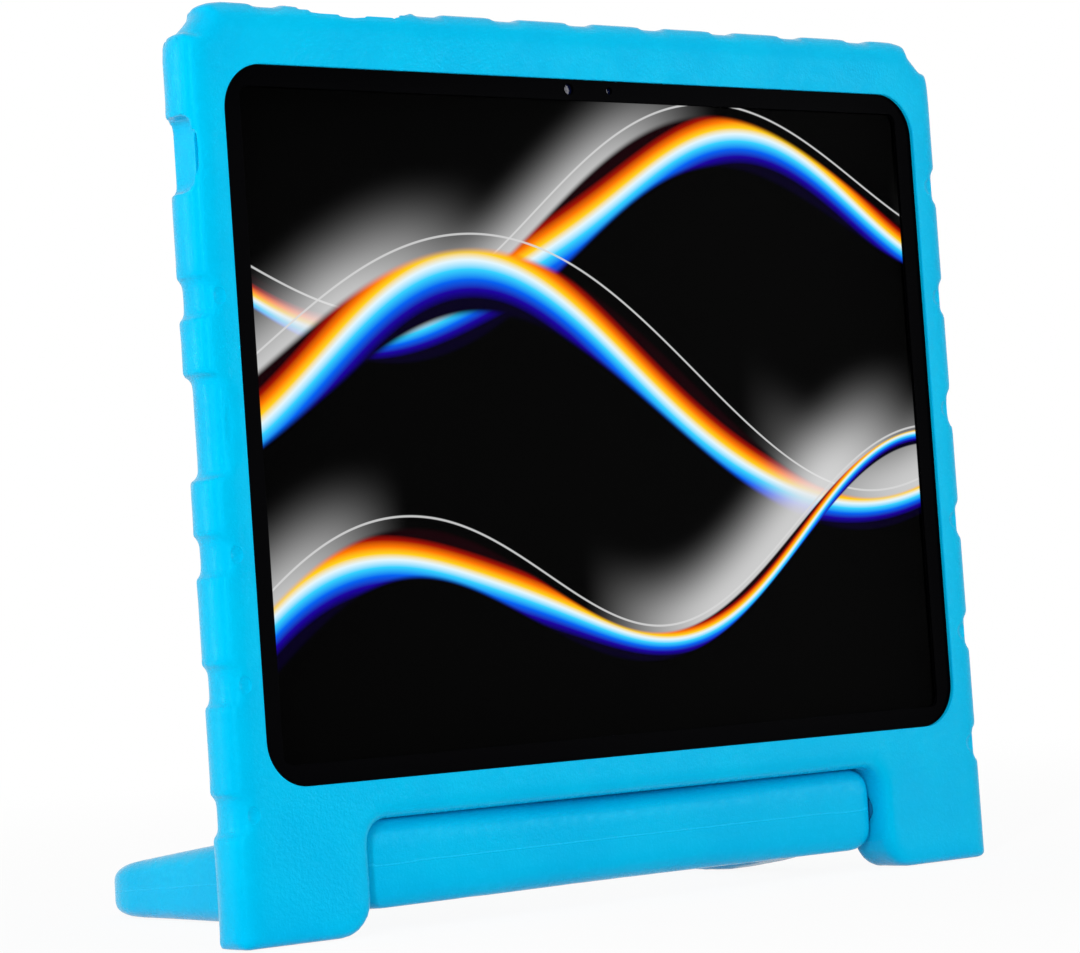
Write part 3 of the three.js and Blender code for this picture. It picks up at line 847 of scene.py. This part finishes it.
@dataclass
class Tablet:
    """The seated tablet: every node keeps its solid and gets its finish."""

    axes: CaseAxes
    housing: tuple[str, ...] = (
        "tablet_housing", "rear_camera_plate", "power_button", "volume_up_button", "volume_down_button")
    lenses: tuple[str, ...] = ("front_camera", "light_sensor", "rear_camera_lens", "depth_sensor_window")

    def build(self) -> None:
        """Dresses the tablet's nodes."""
        # Bead blasting leaves the shell an even dark satin.
        graphite = Plain("anodised_aluminium", Hex.GRAPHITE.value, roughness=0.34, metallic=1.0,
                         grain_mm=0.25, relief_mm=0.006).build()
        # The lens ring is turned and polished, so it is the brightest edge of the back.
        turned_ring = Plain("turned_ring", Hex.GRAPHITE.value, roughness=0.18, metallic=1.0,
                            grain_mm=0.2, relief_mm=0.003, stretch=(1, 6, 1)).build()
        # Drawing runs the steel's fine lines into the socket.
        steel = Plain("drawn_steel", Hex.STEEL.value, roughness=0.3, metallic=1.0,
                      grain_mm=0.2, relief_mm=0.006, stretch=(1, 1, 8)).build()
        plastic = Plain("port_plastic", Hex.PORT_BLACK.value, roughness=0.5, grain_mm=0.3).build()
        # The frosted diffuser scatters its shine over a soft warm white.
        flash = Plain("flash_diffuser", Hex.FLASH.value, roughness=0.25, grain_mm=0.8,
                      relief_mm=0.03).build()
        lens = LensGlass().build()
        for name in self.housing:
            dress(NODES[name], graphite)
        for name in self.lenses:
            dress(NODES[name], lens)
        dress(NODES["rear_camera_ring"], turned_ring)
        dress(NODES["port_shell"], steel)
        dress(NODES["port_tongue"], plastic)
        dress(NODES["flash_window"], flash)
        dress(NODES["display_panel"], ScreenPicture(self.axes).build())
        dress(NODES["cover_glass"], CoverGlassFinish(self.axes).build())


@dataclass
class Hinge:
    """The pins and bushes that the ring turns on."""

    nodes: tuple[str, ...] = ("hinge_pin_left", "hinge_pin_right", "hinge_bush_left", "hinge_bush_right")

    def build(self) -> None:
        """Dresses the pins and bushes in matte nylon."""
        nylon = Plain("moulded_nylon", Hex.HINGE.value, roughness=0.42, grain_mm=0.5,
                      relief_mm=0.015).build()
        for name in self.nodes:
            dress(NODES[name], nylon)


@dataclass(frozen=True)
class Lamp:
    """One soft rectangular lamp that faces the object."""

    name: str
    place: tuple[float, float, float]
    width: float
    height: float
    power: float

    def build(self, target: Vector) -> None:
        """Adds the lamp to the scene.

        Args:
            target: The point that it faces.
        """
        lamp = bpy.data.lights.new(self.name, "AREA")
        lamp.shape = "RECTANGLE"
        lamp.size = self.width
        lamp.size_y = self.height
        lamp.energy = self.power
        holder = bpy.data.objects.new(self.name, lamp)
        place = Vector(self.place)
        holder.location = place
        holder.rotation_euler = (target - place).to_track_quat("-Z", "Y").to_euler()
        bpy.context.scene.collection.objects.link(holder)


@dataclass
class Studio:
    """A pale floor, a white world and soft lamps around the object."""

    axes: CaseAxes
    floor_size: float = 14.0
    floor_level: float = -0.0002
    shadow_reach: tuple[float, float] = (0.15, 1.0)
    near_white: float = 0.93
    sky_light: float = 0.38
    lamps: tuple[Lamp, ...] = (
        Lamp("rear_softbox", (-1.5, 0.9, 0.4), 0.4, 0.8, 5.0),
        Lamp("side_softbox", (-1.9, 0.1, 0.5), 0.3, 1.6, 8.5),
        Lamp("edge_strip", (-1.6, -1.4, 0.5), 0.07, 1.6, 24.0),
        Lamp("key_strip", (-1.05, -1.75, 0.4), 0.12, 0.6, 4.0),
        Lamp("right_softbox", (1.3, -1.7, 0.3), 0.6, 0.6, 7.0),
        Lamp("top_softbox", (0.5, -0.6, 2.3), 1.8, 1.8, 9.0),
    )
    target: Vector = field(default_factory=lambda: Vector((0.0, -0.03, 0.12)))
    eye: tuple[float, float, float] = (-0.75179, -0.90772, -0.05212)
    aim: tuple[float, float, float] = (-0.03076, -0.0006, -0.01823)
    roll_deg: float = 3.377
    lens_mm: float = 124.5
    sensor_mm: float = 36.0

    def build(self) -> None:
        """Builds the floor, the world, the lamps and the camera."""
        self.add_floor()
        self.add_world()
        for lamp in self.lamps:
            lamp.build(self.target)
        self.add_camera()

    def background_share(self, nodes: Nodes) -> Socket:
        """Tells the rays that show the background from those that light the object.

        Args:
            nodes: The nodes that it is added to.

        Returns:
            A socket that is 1 for camera, glossy and transmission rays.
        """
        rays = nodes.add("LightPath").node.outputs
        seen = nodes.add("Math", rays["Is Camera Ray"], rays["Is Glossy Ray"], operation="MAXIMUM")
        return nodes.add("Math", seen, rays["Is Transmission Ray"], operation="MAXIMUM")

    def add_floor(self) -> None:
        """Adds the floor, which stays white and keeps the object's shadow."""
        bpy.ops.object.select_all(action="DESELECT")
        bpy.ops.mesh.primitive_plane_add(size=self.floor_size, location=(0, 0, self.floor_level))
        floor = bpy.context.object
        floor.name = "studio_floor"
        material, nodes = new_material("pale_floor")
        pale = nodes.add("BsdfDiffuse", {"Color": linear(Hex.FLOOR.value)})
        white = nodes.add("Emission", {"Color": WHITE, "Strength": 1.0})
        away = nodes.add("VectorMath", nodes.add("TexCoord", out="Object"), out="Value", operation="LENGTH")
        white_share = nodes.add("MapRange", away, *self.shadow_reach, self.near_white, 1.0, **SMOOTH)
        share = nodes.add("Math", self.background_share(nodes), white_share, operation="MULTIPLY")
        finish_with(nodes, nodes.add("MixShader", share, pale, white))
        dress(floor, material)

    def add_world(self) -> None:
        """Makes the world white where it is seen and softer where it lights."""
        world = bpy.data.worlds.new("studio_world")
        bpy.context.scene.world = world
        world.use_nodes = True
        world.node_tree.nodes.clear()
        nodes = Nodes(world.node_tree)
        strength = nodes.add(
            "MapRange", self.background_share(nodes), 0.0, 1.0, self.sky_light, 1.0, **SMOOTH)
        light = nodes.add("Background", {"Color": WHITE, "Strength": strength})
        finish_with(nodes, light, "OutputWorld")

    def add_camera(self) -> None:
        """Adds the camera at the photograph's place, turned as it was held."""
        middle = self.axes.middle()
        place = middle + Vector(self.eye)
        aim = middle + Vector(self.aim)
        roll = math.radians(self.roll_deg)
        data = bpy.data.cameras.new("photo_camera")
        data.sensor_fit = "HORIZONTAL"
        data.sensor_width = self.sensor_mm
        data.lens = self.lens_mm
        camera = bpy.data.objects.new("photo_camera", data)
        view = (aim - place).to_track_quat("-Z", "Y").to_matrix().to_4x4()
        camera.matrix_world = Matrix.Translation(place) @ view @ Matrix.Rotation(-roll, 4, "Z")
        bpy.context.scene.collection.objects.link(camera)
        bpy.context.scene.camera = camera


def main() -> None:
    """Builds the sub-assemblies in order and reports each one."""
    axes = CaseAxes()
    foam = Foam().build()
    Studio(axes).build()
    log.info("studio built")
    FoamCase(axes, foam).build()
    log.info("case body moulded")
    FoamHandle(Foam("eva_foam_ring", parting_attribute="parting_mm").build()).build()
    log.info("handle ring moulded")
    Hinge().build()
    log.info("hinge dressed")
    Tablet(axes).build()
    log.info("tablet dressed")
    bpy.context.scene.view_settings.view_transform = "Standard"


if __name__ == "__main__":
    main()
